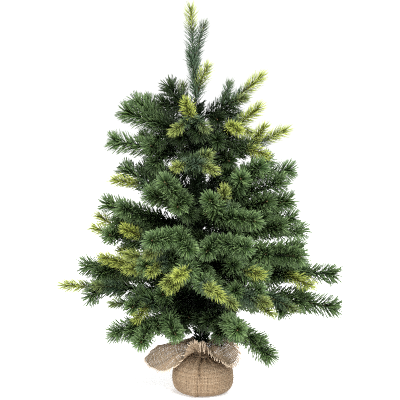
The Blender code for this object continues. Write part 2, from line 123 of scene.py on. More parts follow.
# The shoot at the top: its tip's place from the pole top and its lime, then its sprigs
# as fork, along X, along Y, up, lime.
LEADER_TIP = (-9, 0, 160, 0.8)
LEADER_SPRIGS = (
    (0.45, 16, -6, 134, 0.1),
    (0.08, 22, -12, 70, 0.75),
    (0.40, -14, 4, 92, 0.05),
    (0.15, 2, 26, 78, 0.05),
)

# Needles: length, width and thickness in metres, how many on a metre of wire, the angle
# they stand off the wire at along it and at its end, how far they curl as a share of
# their length, and how far they stray, in degrees
NEEDLES = {
    "pvc": dict(length=0.0245, width=0.0013, thick=0.00040, density=5000,
                lean=55, end_lean=40, bend=0.02, stray=5),
    "pe": dict(length=0.0175, width=0.0010, thick=0.00080, density=3800,
               lean=56, end_lean=26, bend=0.18, stray=6),
}
# How much of its last needles' length a wire stops short of its tip
TIP_REACH = {"pvc": 0.64, "pe": 0.72}
# Needles close up towards a wire's end between these distances from it
CLOSING = (-0.004, 0.014)
TUFT_LENGTH = 0.014
TUFT_CROWD = 0.8
RIBBON_PITCH = 0.0105
RIBBON_SPREAD = 0.50
# Ribbon needles near the pole are drawn dark as painted shade: fully up to the first of these distances from
# the pole, fading out by the second
SHADE_ENDS = (0.018, 0.095)
# A moulded sprig is this long, or this share of a short wire, or of a leader's wire
PE_SPRIG_LENGTH = 0.066
SPRIG_SHARE = 0.70
LEADER_SHARE = 0.98
LEADER_CROWD = 0.75
STEM_BARE = 0.008
SIDE_BARE = 0.003
# Where short twigs fork from a branch's main wire, as shares of it: on every branch, on
# those to the sides below the top tiers, and on the lowest tier. Tiers' heights in mm.
TWIG_FORKS = (0.18, 0.32)
OUTER_TWIG_FORKS = (0.50, 0.64)
LOW_TWIG_FORKS = (0.09, 0.12, 0.15, 0.19, 0.26, 0.38)
TOP_TIERS = 290
LOWEST_TIER = 150
TWIG_LENGTHS = (0.036, 0.050)
LOWEST_TWIG = 0.094
# How far the level wires that point to the front or back curl at their ends
CURL = 0.015
CURL_START = 0.40
WIRE_RADIUS = 0.0009
WIRE_ROOT_RADIUS = 0.0011
PE_STEM_RADII = (0.0008, 0.0005)

# The hessian. Its yarns, how wide the cut is, and where its side edges overlap.
YARN_PITCH = 0.0022
YARN_HALF = 0.00086
YARN_RELIEF = 0.00036
CLOTH_WIDTH = 0.320
SEAM_AZIMUTH = 250.0
SEAM_OVERLAP = 10.0
# Reach and height of the cloth in mm: under the pot, up its body, and in to the neck
BODY_OUTLINE = (
    (14, 0.95), (23, 0.95), (31, 1.0), (38.8, 3.0), (44.4, 8), (47.4, 15.5), (48.4, 26), (47.3, 35),
    (44.6, 42), (40, 48), (34, 52.6), (27, 55.6), (20, 57.2), (15.6, 58.4), (14.4, 60), (15.2, 63),
    (18.0, 67),
)
NECK_PLACE = 14
TWINE_HALF = 0.0011
TWINE_TWISTS = 26
# Creases down the shoulder: azimuth, depth in mm, and the height where each ends in mm
CREASES = (
    (231, 2.0, 36), (246, 2.4, 36), (261.5, 4.0, 18), (274, 1.4, 42), (292, 1.6, 38),
    (309, 1.2, 44), (328, 1.8, 34), (352, 1.5, 40), (14, 1.3, 44), (37, 1.8, 36),
    (66, 1.5, 42), (91, 1.7, 34), (118, 1.4, 42), (147, 1.8, 38), (171, 1.3, 44),
    (198, 1.7, 36), (214, 1.3, 43),
)
# Half the width of a crease and its slant, in degrees and degrees a metre
CREASE_HALF = 2.4
CREASE_SLANT = 90
# How deep the cloth's pleats, fine folds, waves and slow swell are, and how far the side
# edge on top stands off and the one below it sinks
PLEAT_DEPTH = 0.0046
FINE_DEPTH = 0.0007
WAVE_DEPTH = 0.0024
SWELL_DEPTH = 0.0006
SEAM_LIFT = 0.0013
SEAM_SINK = 0.0003
# The fringe's hanging yarns draw together every so many degrees
BUNDLE_TURN = 13.0
FRINGE_STEPS = 8
FRINGE_RADII = (0.00066, 0.00042)
FIBRES = 420
FIBRE_RADII = (0.00013, 0.00006)
# Above the neck, by azimuth: reach and height of the crest, reach and height of the free
# edge, length of its fringe in mm, and how far the fringe hangs down, 0 to 1
COLLAR = (
    (8, 32, 78, 50, 78, 12, 0.25),
    (45, 30, 80, 46, 82, 8, 0.10),
    (95, 31, 76, 50, 60, 6, 0.40),
    (140, 33, 77, 56, 66, 6, 0.30),
    (165, 38, 76, 76, 66, 4, 0.30),
    (182, 40, 74, 94, 54, 3, 0.40),
    (196, 36, 70, 89, 48, 3, 0.50),
    (208, 31, 67, 79, 40, 4, 0.50),
    (219, 27, 64, 61, 40, 5, 0.30),
    (228, 25, 65, 50, 54, 6, 0.00),
    (238, 24, 70, 43, 86, 6, -0.20),
    (252, 21, 71, 34, 89, 7, -0.10),
    (264, 18, 73, 25, 87, 22, 1.00),
    (280, 18, 73, 26, 85, 20, 1.00),
    (294, 25, 77, 38, 64, 6, 0.60),
    (316, 32, 77, 51, 51, 6, 0.50),
    (340, 35, 78, 56, 52, 8, 0.40),
)

# Camera and lights. Each lamp has its place, size and watts, and faces the tree's middle.
CAMERA_ANGLE = 21.80
CAMERA_PLACE = (-0.0045, -1.60, 0.4745)
CAMERA_TARGET = (-0.0045, 0.0, 0.3036)
LAMPS = {
    "key": ((0.9, -1.9, 1.7), 1.0, 70),
    "fill": ((-1.8, -1.4, 0.9), 1.2, 25),
    "back": ((0.7, 1.9, 1.5), 1.2, 34),
}
LIT_MIDDLE = (0.0, 0.0, 0.25)
# The sky's strength as light, and as the camera sees it
SKY_STRENGTH = {"To Min": 0.60, "To Max": 1.05}
SUN_STRENGTH = 2.4
SUN_WIDTH = 50
SUN_TURN = (38, 0, 20)
FLOOR_HALF = 6.0


# --- Meshes made with numpy ---------------------------------------------------


class Builder:
    """Collects points, faces, tints and texture tiles of one piece."""

    def __init__(self):
        self.points, self.tints, self.local, self.tiles = [], [], [], []
        self.faces, self.slots = [], []
        self.count = 0
        self.tile_count = 0

    def add(self, points, faces, tints, local, slot, tiles):
        """points (n, m, 3) are n copies of one form with m points, faces its faces."""
        copies, size = points.shape[:2]
        starts = self.count + np.arange(copies) * size
        self.points.append(points.reshape(-1, 3))
        self.tints.append(tints.reshape(-1, 4))
        self.local.append(np.tile(local, (copies, 1)))
        self.tiles.append(np.repeat(self.tile_count + np.arange(copies) % tiles, size))
        for face in faces:
            self.faces.append(starts[:, None] + np.array(face)[None, :])
            self.slots.append(np.full(copies, slot))
        self.count += copies * size
        self.tile_count += tiles

    def mesh(self, name, materials):
        mesh = bpy.data.meshes.new(name)
        mesh.vertices.add(self.count)
        mesh.vertices.foreach_set("co", np.concatenate(self.points).astype(np.float32).ravel())
        sizes = np.concatenate([np.full(len(f), f.shape[1]) for f in self.faces])
        corners = np.concatenate([f.ravel() for f in self.faces])
        mesh.loops.add(len(corners))
        mesh.loops.foreach_set("vertex_index", corners.astype(np.int32))
        mesh.polygons.add(len(sizes))
        starts = np.concatenate([[0], np.cumsum(sizes)[:-1]])
        mesh.polygons.foreach_set("loop_start", starts.astype(np.int32))
        mesh.polygons.foreach_set("material_index", np.concatenate(self.slots).astype(np.int32))
        mesh.polygons.foreach_set("use_smooth", np.ones(len(sizes), bool))
        for material in materials:
            mesh.materials.append(material)
        add_tints(mesh, np.concatenate(self.tints))
        add_tiles(mesh, self.spots()[corners])
        mesh.update(calc_edges=True)
        mesh.validate()
        return mesh

    def spots(self):
        """A square of the texture for each needle, so that its colours bake cleanly."""
        side = math.ceil(math.sqrt(self.tile_count))
        tiles = np.concatenate(self.tiles)
        inside = 0.15 + 0.7 * np.concatenate(self.local)
        return (np.stack([tiles % side, tiles // side], axis=1) + inside) / side


def add_tints(mesh, tints):
    """The four channels that the materials read at each point."""
    tint = mesh.attributes.new("tint", "FLOAT_COLOR", "POINT")
    tint.data.foreach_set("color", tints.astype(np.float32).ravel())


def add_tiles(mesh, spots):
    layer = mesh.uv_layers.new(name="OFBake")
    layer.data.foreach_set("uv", spots.astype(np.float32).ravel())


def add_object(name, data):
    made = bpy.data.objects.new(name, data)
    bpy.context.scene.collection.objects.link(made)
    return made


def add_piece(name, mesh, body):
    piece = add_object(name, mesh)
    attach(piece, body)
    return piece


def unit(rows):
    return rows / np.maximum(np.linalg.norm(rows, axis=-1, keepdims=True), 1e-12)


def smoothstep(low, high, x):
    t = np.clip((x - low) / (high - low), 0.0, 1.0)
    return t * t * (3.0 - 2.0 * t)


def distances(points):
    """How far along a line of points each of them is."""
    steps = np.linalg.norm(np.diff(points, axis=0), axis=1)
    return np.concatenate([[0.0], np.cumsum(steps)])


def directions(azimuth):
    """Outward and to the left of it, level, at an azimuth in degrees."""
    turn = math.radians(azimuth)
    outward = np.array([math.cos(turn), math.sin(turn), 0.0])
    return outward, np.array([-math.sin(turn), math.cos(turn), 0.0])


def across_line(slope, chord, steep):
    """Two directions across a line at each of its slopes; steep is where it counts as
    upright."""
    helper = np.array([1.0, 0.0, 0.0]) if abs(unit(chord)[2]) > steep else UP
    across = unit(helper - slope * (slope @ helper)[..., None])
    return across, np.cross(slope, across)


def add_tube(build, line, across, radii, sides, slot, tint):
    """A closed round tube along a line of points, with the two directions across it at
    each. tint has its four channels; None is the share of the way along it."""
    rings = len(line)
    turn = np.arange(sides) * math.tau / sides
    circle = (
        across[0][:, None, :] * np.cos(turn)[None, :, None]
        + across[1][:, None, :] * np.sin(turn)[None, :, None]
    )
    points = (line[:, None, :] + circle * radii[:, None, None]).reshape(1, -1, 3)
    faces = [tuple(range(sides))[::-1], tuple((rings - 1) * sides + k for k in range(sides))]
    for low in range(0, (rings - 1) * sides, sides):
        for k in range(sides):
            high, after = low + sides, (k + 1) % sides
            faces.append((low + k, low + after, high + after, high + k))
    share = np.repeat(np.linspace(0, 1, rings), sides)
    tints = np.ones((1, rings * sides, 4))
    for channel, value in enumerate(tint):
        tints[0, :, channel] = share if value is None else value
    local = np.stack([np.tile(np.arange(sides) / sides, rings), share], axis=1)
    build.add(points, faces, tints, local, slot, 1)


# --- Wires --------------------------------------------------------------------


def pole_point(height):
    """The pole's axis at a height: it leans to -X."""
    return np.array([-POLE_LEAN * height, 0.0, height])


def bezier(start, control, end):
    return lambda t: start * (1 - t) ** 2 + control * (2 * t * (1 - t)) + end * t**2


class Spine:
    """A wire's centre line, measured along its length."""

    def __init__(self, curve, samples=120):
        self.points = np.array([curve(k / samples) for k in range(samples + 1)])
        self.along = distances(self.points)
        self.length = self.along[-1]
        self.slopes = unit(np.gradient(self.points, self.along, axis=0))

    def at(self, distance):
        """Points and directions of the line at distances from its start."""
        point, slope = (
            np.stack([np.interp(distance, self.along, column) for column in table.T], -1)
            for table in (self.points, self.slopes)
        )
        return point, unit(slope)

    def frames(self, distance):
        """Points, directions, and two directions across the line."""
        point, slope = self.at(distance)
        return point, slope, *across_line(slope, self.points[-1] - self.points[0], 0.8)


def main_curve(root, end):
    rise = end[2] - root[2]
    return bezier(root, (root + end) * 0.5 - 0.16 * rise * UP, end)


def side_curve(main, fork, end):
    start = main(fork)
    along = unit(main(min(fork + 0.1, 1.0)) - start)
    reach = end - start
    control = start + reach * 0.35 + along * (0.12 * np.linalg.norm(reach))
    return bezier(start, control, end)


def curled(curve):
    """A level wire that points to the front or back, its end curling out and down."""
    chord = unit(curve(1.0) - curve(0.0))
    if abs(chord[1]) < 0.6 or abs(chord[2]) > 0.25:
        return curve
    toward = np.array([math.copysign(0.6, chord[0]), 0.0, -0.8]) * CURL
    return lambda t: curve(t) + toward * smoothstep(CURL_START, 1.0, t)


def branch_curves(row):
    """(curve, kind, lime) of each wire of a branch, the main one first."""
    height, azimuth, main_tip, *side_tips = row
    outward, left = directions(azimuth)
    axis = pole_point(height * MM)

    def place(out, side, rise):
        return axis + (outward * out + left * side + UP * rise) * MM

    kind, *rest = main_tip
    root = axis + outward * (POLE_RADIUS + TAPE_WALL + ROOT_GAP)
    main = main_curve(root, place(*rest[:3]))
    wires = [(main, kind, rest[3] if kind == "pe" else 0.0)]
    for kind, fork, *rest in side_tips:
        curve = side_curve(main, fork, place(*rest[:3]))
        wires.append((curve, kind, rest[3] if kind == "pe" else 0.0))
    return [(curled(curve), *rest) for curve, *rest in wires]


def leader_curves():
    base = pole_point(POLE_TOP)
    root = base + ROOT_GAP * UP
    main = main_curve(root, base + np.array(LEADER_TIP[:3]) * MM)
    wires = [(main, LEADER_TIP[3])]
    for fork, x, y, rise, lime in LEADER_SPRIGS:
        end = base + np.array([x, y, rise]) * MM
        wires.append((side_curve(main, fork, end), lime))
    return wires


# --- Needles ------------------------------------------------------------------


def needle_form(kind):
    """One needle: (across, thick, along) of its points as shares, and its faces."""
    if kind == "pvc":
        rings = ((0.0, 0.80), (0.88, 1.0))
    else:
        rings = ((0.0, 0.90), (0.60, 0.95))
    corners = ((0.5, 0.0), (0.0, 0.5), (-0.5, 0.0), (0.0, -0.5))
    points = [(x * wide, y * wide, along) for along, wide in rings for x, y in corners]
    points.append((0.0, 0.0, 1.0))
    faces = [(3, 2, 1, 0)]
    for ring in range(len(rings) - 1):
        for k in range(4):
            low, high = 4 * ring, 4 * ring + 4
            after = (k + 1) % 4
            faces.append((low + k, low + after, high + after, high + k))
    last = 4 * (len(rings) - 1)
    for k in range(4):
        faces.append((last + k, last + (k + 1) % 4, last + 4))
    return np.array(points), faces


NEEDLE_FORMS = {kind: needle_form(kind) for kind in NEEDLES}
PVC_SLOT, PE_SLOT, WIRE_SLOT = 0, 1, 2
KIND_SLOT = {"pvc": PVC_SLOT, "pe": PE_SLOT}


def around(rng, kind, low, high, density):
    """Distances along a wire, and turns round it, of the needles between two distances.
    Ribbons leave a twisted wire in two helical rows; moulded needles sit in a spiral."""
    number = max(int((high - low) * density), 1)
    steps = np.arange(number)
    distance = low + (steps + rng.uniform(0.1, 0.9, number)) / number * (high - low)
    if kind == "pvc":
        turn = distance / RIBBON_PITCH * math.tau + (steps % 2) * math.pi
        turn = turn + rng.normal(0, RIBBON_SPREAD, number)
    else:
        turn = steps * GOLDEN_ANGLE + rng.normal(0, 0.25, number)
    return distance, turn + rng.uniform(0, math.tau)


def add_needles(build, rng, spine, kind, low, high, shade, size=1.0, crowd=1.0, flat_end=False):
    """Needles of one kind between two distances along a wire. shade(distance) is how lime a moulded needle
    is, or how dark a ribbon is drawn as painted shade. Each wire has a tone of its own."""
    spec = NEEDLES[kind]
    ruffled = abs(unit(spine.points[-1] - spine.points[0])[1])
    stray = spec["stray"] * (0.8 + 1.1 * ruffled**2)
    distance, turn = around(rng, kind, low, high, spec["density"] * crowd)
    number = len(distance)
    point, slope, across, beside = spine.frames(distance)
    radial = across * np.cos(turn)[:, None] + beside * np.sin(turn)[:, None]
    closing = smoothstep(*CLOSING, high - distance) if not flat_end else np.ones(number)
    lean = spec["end_lean"] + (spec["lean"] - spec["end_lean"]) * closing
    lean = np.radians(lean + rng.normal(0, stray, number))
    length = spec["length"] * size * rng.uniform(0.80, 1.06, number) * (0.86 + 0.14 * closing)
    length = length * (1 - 0.16 * ruffled**2)
    direction = slope * np.cos(lean)[:, None] + radial * np.sin(lean)[:, None]
    direction = unit(direction + rng.normal(0, stray / 130, (number, 3)))
    sweep = unit(slope - direction * np.sum(slope * direction, axis=1)[:, None])
    side = unit(np.cross(direction, sweep))
    twist = rng.normal(0, 0.7, number)[:, None]
    width = side * np.cos(twist) + sweep * np.sin(twist)
    thick = np.cross(direction, width)
    form, faces = NEEDLE_FORMS[kind]
    bend = rng.normal(spec["bend"], 0.008 * stray, number) * length
    base = point + radial * (WIRE_RADIUS * 0.5)
    points = (
        base[:, None, :]
        + direction[:, None, :] * (form[None, :, 2:3] * length[:, None, None])
        + width[:, None, :] * (form[None, :, 0:1] * spec["width"])
        + thick[:, None, :] * (form[None, :, 1:2] * spec["thick"])
        + sweep[:, None, :] * (form[None, :, 2:3] ** 2 * bend[:, None, None])
    )
    tints = np.ones((number, len(form), 4))
    tints[:, :, 0] = form[None, :, 2]
    tints[:, :, 1] = np.broadcast_to(shade(distance), (number,))[:, None]
    tints[:, :, 2] = rng.uniform(0, 1, number)[:, None]
    tints[:, :, 3] = rng.uniform(0, 1)
    local = np.stack([(form[:, 0] + 0.5), form[:, 2]], axis=1)
    build.add(points, faces, tints, local, KIND_SLOT[kind], number)


def add_wire(build, spine, low, high, radii, stem):
    """A wire's own tube between two distances along it; stem is 1 for a moulded stem."""
    distance = np.linspace(low, high, max(int((high - low) / 0.008), 3))
    point, _, *across = spine.frames(distance)
    own = abs(math.sin(1000 * (high + low + spine.length)))
    radius = np.interp(distance, [low, high], radii)
    add_tube(build, point, across, radius, 5, WIRE_SLOT, (None, stem, 0.5, own))


def from_pole(point):
    return np.hypot(point[..., 0] + POLE_LEAN * point[..., 2], point[..., 1])


def dress_wire(build, rng, curve, kind, lime, start, crowd=1.0, leader=False):
    """Everything on one wire: its tube, ribbon needles, and a moulded sprig at a pe tip,
    which takes up a leader's wire."""
    spine = Spine(curve)

    # Painted shade: how dark a ribbon here is drawn, fully near the pole and fading out by the second of
    # SHADE_ENDS.
    def inner(distance):
        return 1.0 - smoothstep(*SHADE_ENDS, from_pole(spine.at(distance)[0]))

    end = spine.length - NEEDLES[kind]["length"] * TIP_REACH[kind]
    ribbon_wire = (WIRE_ROOT_RADIUS, WIRE_RADIUS)
    if kind == "pvc":
        add_wire(build, spine, 0.0, end + 0.002, ribbon_wire, 0.0)
        add_needles(build, rng, spine, "pvc", start, end, inner, crowd=crowd)
        add_needles(build, rng, spine, "pvc", end - TUFT_LENGTH, end, inner, crowd=TUFT_CROWD)
        return
    length = min(PE_SPRIG_LENGTH, SPRIG_SHARE * spine.length)
    if leader:
        length = LEADER_SHARE * spine.length
    sprig = max(end - length, 0.0)
    if sprig - start > 0.006:
        overlap = sprig + 0.004
        add_wire(build, spine, 0.0, overlap, ribbon_wire, 0.0)
        add_needles(build, rng, spine, "pvc", start, overlap, inner, flat_end=True)
    add_wire(build, spine, sprig, end + 0.001, PE_STEM_RADII, 1.0)

    def growth(distance):
        share = 1 - (end - distance) / PE_SPRIG_LENGTH
        front = 0.84 - 0.50 * lime
        return smoothstep(front - 0.12, front + 0.22, share) * min(1.15 * lime, 1.0)

    size = 0.92 + 0.16 * lime
    add_needles(build, rng, spine, "pe", max(sprig, start), end, growth, size, crowd)


def foliage_piece(name, wires, materials, seed, bare=STEM_BARE):
    """The needles of one body; the first of its wires starts bare at its root."""
    rng = np.random.default_rng(seed)
    build = Builder()
    for number, wire in enumerate(wires):
        dress_wire(build, rng, *wire[:3], bare if number == 0 else SIDE_BARE, *wire[3:])
    return build.mesh(name, materials)


def inner_twigs(row, main, rng):
    """Short ribbon twigs on the inner part of a branch's main wire, which fill it out."""
    outward, left = directions(row[1])
    twigs = []
    sideways = abs(outward[0]) > 0.6 and row[0] < TOP_TIERS
    forks = TWIG_FORKS + (OUTER_TWIG_FORKS if sideways else ())
    if row[0] < LOWEST_TIER:
        forks = LOW_TWIG_FORKS + forks
    for number, fork in enumerate(forks):
        start = main(fork + rng.uniform(-0.03, 0.03))
        side = 1 if number % 2 else -1
        rise = rng.uniform(-0.9, 0.5) - (0.5 if row[0] < LOWEST_TIER else 0.0)
        aim = unit(outward * (0.2 + fork) + left * side * rng.uniform(0.5, 0.9) + UP * rise)
        end = start + aim * rng.uniform(*TWIG_LENGTHS)
        end[2] = max(end[2], LOWEST_TWIG)
        bow = start + (end - start) * 0.5 + outward * 0.006
        twigs.append((bezier(start, bow, end), "pvc", 0.0))
    return twigs


def make_foliage(materials):
    for number, row in enumerate(BRANCHES, start=1):
        body = f"branch_{number:02d}"
        wires = branch_curves(row)
        rng = np.random.default_rng(SEED + 200 + number)
        wires += inner_twigs(row, wires[0][0], rng)
        name = f"foliage_{number:02d}"
        piece = add_piece(name, foliage_piece(name, wires, materials, SEED + number), body)
        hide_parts(body)
        tips = [tip[0] for tip in row[2:]]
        "pe_needles" if 2 * tips.count("pe") > len(tips) else "pvc_needles"
    wires = [(curve, "pe", lime, LEADER_CROWD, True) for curve, lime in leader_curves()]
    mesh = foliage_piece("foliage_leader", wires, materials, SEED, 0.0)
    piece = add_piece("foliage_leader", mesh, "leader_shoot")
    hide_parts("leader_shoot")


def make_garland(materials):
    """Ribbon needles round the foot of the pole, standing almost straight out, drawn fully dark as painted
    shade.
    """
    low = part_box("trunk_garland")[0].z
    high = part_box("trunk_tape")[1].z
    rng = np.random.default_rng(SEED + 90)
    build = Builder()
    line = Spine(bezier(pole_point(low), pole_point((low + high) / 2), pole_point(high)))
    full = dict(size=0.75, crowd=2.6, flat_end=True)
    # Painted shade: every garland needle gets the full dark of the shade channel.
    add_needles(build, rng, line, "pvc", 0.002, line.length, lambda distance: 1.0, **full)
    piece = add_piece("trunk_needles", build.mesh("trunk_needles", materials), "base")
    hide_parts("trunk_garland")


# --- Hessian wrap -------------------------------------------------------------


def smooth_line(points, count):
    """A smooth curve through points, as close-spaced points."""
    points = np.asarray(points, float)
    along = distances(points)
    slopes = np.gradient(points, along, axis=0)
    wanted = np.linspace(0.0, along[-1], count)
    k = np.clip(np.searchsorted(along, wanted, side="right") - 1, 0, len(along) - 2)
    span = (along[k + 1] - along[k])[:, None]
    t = (wanted - along[k])[:, None] / span
    return (
        points[k] * (1 + 2 * t) * (1 - t) ** 2
        + slopes[k] * span * t * (1 - t) ** 2
        + points[k + 1] * t**2 * (3 - 2 * t)
        + slopes[k + 1] * span * t**2 * (t - 1)
    )


def collar_rows(azimuths):
    """The collar's measures at azimuths in degrees, smooth from row to row of COLLAR."""
    rows = np.array(COLLAR, float)
    turns = np.arange(-30, 390)
    spread = np.hanning(21)
    spread = spread / spread.sum()
    smooth = []
    for column in rows[:, 1:].T:
        values = np.interp(turns % 360, rows[:, 0], column, period=360)
        smooth.append(np.interp(azimuths % 360, turns, np.convolve(values, spread, "same")))
    return np.stack(smooth, axis=-1)


class Cloth:
    """The gathered cloth, as a table of its points: one row for each quarter of a degree
    round it, one column for each half millimetre up it from its lower edge."""

    STEP = 0.0005
    TURN = 0.25

    def __init__(self):
        self.azimuths = SEAM_AZIMUTH + np.arange(0, 360 + SEAM_OVERLAP + self.TURN / 2, self.TURN)
        self.collar = collar_rows(self.azimuths)
        outlines = [self.outline(row) for row in self.collar]
        self.lengths = np.array([(len(line) - 1) * self.STEP for line in outlines])
        steps = max(len(line) for line in outlines) + 20
        table = np.array([self.lengthened(line, steps) for line in outlines])
        self.neck = self.neck_distance()
        reach = self.collar[:, 0] + self.collar[:, 2]
        self.collar_share = np.concatenate([[0.0], np.cumsum((reach[1:] + reach[:-1]) / 2)])
        self.collar_share /= self.collar_share[-1]
        self.points = self.gathered(table[..., 0], table[..., 1])
        up = np.gradient(self.points, axis=1)
        round_it = np.gradient(self.points, axis=0)
        self.normals = unit(np.cross(round_it, up))
        self.slopes = unit(up)

    def outline(self, collar):
        """Reach and height at every step from the lower edge to the free edge."""
        corners = list(BODY_OUTLINE) + [tuple(collar[0:2]), tuple(collar[2:4])]
        line = smooth_line(corners, 400) * MM
        along = distances(line)
        wanted = np.arange(0.0, along[-1], self.STEP)
        return np.stack([np.interp(wanted, along, line[:, k]) for k in range(2)], axis=-1)

    @staticmethod
    def lengthened(line, steps):
        """The outline carried straight on to a number of steps."""
        more = steps - len(line)
        onward = line[-1] + (line[-1] - line[-2]) * np.arange(1, more + 1)[:, None]
        return np.concatenate([line, onward])

    def neck_distance(self):
        corners = np.array(BODY_OUTLINE[: NECK_PLACE + 1]) * MM
        return np.linalg.norm(np.diff(corners, axis=0), axis=1).sum()

    def gathered(self, reach, height):
        """The table's points, with pleats at the neck, creases down the shoulder, waves in
        the collar, and one side edge lying over the other."""
        turn = np.radians(self.azimuths)[:, None]
        up = np.arange(reach.shape[1])[None, :] * self.STEP
        past = up - self.neck
        uneven = 17 * turn + 0.9 * np.sin(3 * turn + 1) + 0.7 * np.sin(5 * turn)
        pleat = 0.5 - 0.5 * np.cos(uneven)
        near = smoothstep(-0.030, 0.0, past) * (1 - 0.75 * smoothstep(0.002, 0.022, past))
        lift = -PLEAT_DEPTH * pleat * near
        fine = np.cos(31 * turn + 2 * np.sin(4 * turn) + 60 * up)
        lift += FINE_DEPTH * fine * smoothstep(-0.026, -0.004, past)
        wave = np.cos(6 * turn + 1.1 * np.sin(2 * turn) + 28 * up)
        wave = wave + 0.5 * np.cos(11 * turn - 45 * up)
        lift += WAVE_DEPTH * wave * smoothstep(0.008, 0.032, past)
        body = smoothstep(0.030, 0.060, up) * (1 - smoothstep(-0.02, 0.0, past))
        swell = np.cos(4 * turn + 60 * up) + 0.6 * np.cos(9 * turn - 35 * up)
        lift += SWELL_DEPTH * body * swell
        for azimuth, depth, low in CREASES:
            off = (self.azimuths[:, None] - azimuth + 180) % 360 - 180
            low_end = smoothstep(low * MM, low * MM + 0.022, height) * (past < 0.0)
            bend = off + CREASE_SLANT * (height - 0.045)
            lift -= depth * MM * np.exp(-((bend / CREASE_HALF) ** 2)) * low_end
        grounded = smoothstep(0.012, 0.030, up)
        end = 360 + SEAM_OVERLAP
        swept = self.azimuths[:, None] - SEAM_AZIMUTH
        lift += SEAM_LIFT * smoothstep(end - 30, end - 6, swept) * (0.3 + 0.7 * grounded)
        lift -= SEAM_SINK * (1 - smoothstep(0, 12, swept)) * grounded
        slope = unit(np.stack([np.gradient(reach, axis=1), np.gradient(height, axis=1)], -1))
        reach = reach + slope[..., 1] * lift
        height = height - slope[..., 0] * lift
        return np.stack([reach * np.cos(turn), reach * np.sin(turn), height], axis=-1)

    def row_in_collar(self, across):
        """The table's row at a distance across the cut, above the neck: the gathers open
        so that the cloth isn't stretched where it reaches far out."""
        return np.interp(across / CLOTH_WIDTH, self.collar_share, np.arange(len(self.azimuths)))

    def sample(self, table, across, up):
        """A table's values at distances across and up the flat cut, in metres."""
        opened = smoothstep(self.neck - 0.008, self.neck + 0.016, up)
        even = across / CLOTH_WIDTH * (len(self.azimuths) - 1)
        row = even + (self.row_in_collar(across) - even) * opened
        column = up / self.STEP
        row = np.clip(row, 0, table.shape[0] - 1.001)
        column = np.clip(column, 0, table.shape[1] - 1.001)
        i, j = row.astype(int), column.astype(int)
        f, g = (row - i)[..., None], (column - j)[..., None]
        low = table[i, j] * (1 - f) + table[i + 1, j] * f
        high = table[i, j + 1] * (1 - f) + table[i + 1, j + 1] * f
        return low * (1 - g) + high * g

    def along_edge(self, values, across):
        """Values that belong to azimuths, at distances across the cut at its free edge."""
        return np.interp(self.row_in_collar(across), np.arange(len(values)), values)


def yarn_lines(count, across_count, rng):
    """Where the edges and middles of parallel yarns run: they wander and vary in width.
    One row per line, three lines a yarn, one column per line that crosses them."""
    middle = (np.arange(count) + 0.5) * YARN_PITCH + rng.normal(0, 0.00014, count)
    steps = np.arange(across_count)[None, :]

    def ripple(slow, fast):
        return np.sin(steps * rng.uniform(slow, fast, (count, 1)) + rng.uniform(0, 6, (count, 1)))

    wander = 0.00022 * ripple(0.05, 0.12)
    wide = rng.uniform(0.84, 1.08, (count, 1)) + 0.08 * ripple(0.1, 0.4)
    lines = np.empty((3 * count, across_count))
    for k, side in enumerate((-1, 0, 1)):
        lines[k::3] = middle[:, None] + wander + side * YARN_HALF * wide
    return lines


def weave_relief(warps, wefts):
    """How proud each point of the weave stands, in shares of the relief, and whether its
    top yarn is the warp. The warp is on top at every second crossing."""
    i, a = np.divmod(np.arange(3 * warps), 3)
    j, b = np.divmod(np.arange(3 * wefts), 3)
    warp_top = (i[:, None] + j[None, :]) % 2 == 0
    mid_warp = (a == 1)[:, None] & np.ones(len(b), bool)[None, :]
    mid_weft = (b == 1)[None, :] & np.ones(len(a), bool)[:, None]
    relief = np.full(warp_top.shape, -0.40)
    relief = np.where(mid_warp & ~mid_weft, np.where(warp_top, 0.45, -0.15), relief)
    relief = np.where(mid_weft & ~mid_warp, np.where(warp_top, -0.15, 0.45), relief)
    relief = np.where(mid_warp & mid_weft, 1.0, relief)
    return relief, warp_top


def make_cloth(cloth, material):
    """The woven sheet: yarn crossings, the yarns between them, and open holes."""
    rng = np.random.default_rng(SEED + 100)
    warps = int(CLOTH_WIDTH / YARN_PITCH)
    wefts = int(cloth.lengths.max() / YARN_PITCH)
    across = yarn_lines(warps, 3 * wefts, rng)
    up = yarn_lines(wefts, 3 * warps, rng).T
    relief, warp_top = weave_relief(warps, wefts)
    cut = cloth.along_edge(cloth.lengths, (np.arange(warps) + 0.5) * YARN_PITCH)
    cut = cut - rng.uniform(0, 0.0015, warps)
    points = cloth.sample(cloth.points, across, up)
    normals = unit(cloth.sample(cloth.normals, across, up))
    flat = 0.35 + 0.65 * smoothstep(0.012, 0.035, up)
    squeezed = 1 - 0.5 * np.exp(-(((up - cloth.neck) / 0.010) ** 2))
    points = points + normals * (relief * YARN_RELIEF * flat * squeezed)[..., None]
    keep = up <= np.repeat(cut, 3)[:, None]
    warp_tone, weft_tone = rng.uniform(0, 1, warps), rng.uniform(0, 1, wefts)
    tone = np.where(warp_top, np.repeat(warp_tone, 3)[:, None], np.repeat(weft_tone, 3)[None, :])
    tone = np.clip(tone + 0.70 * smoothstep(cloth.neck + 0.004, cloth.neck + 0.024, up), 0.0, 1.0)
    # The second channel is how proud the weave stands, up to 0.6; the material paints shade where it is low.
    tints = np.stack([tone, 0.6 * (relief + 0.4) / 1.4, rng.uniform(0, 1, tone.shape)], axis=-1)
    place = np.stack([across / CLOTH_WIDTH, up / cloth.lengths.max()], axis=-1)
    mesh = weave_mesh("hessian_cloth", points, keep, tints, place, material)
    sheet = add_piece("hessian_cloth", mesh, "base")
    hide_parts("hessian_wrap")
    return sheet, cut


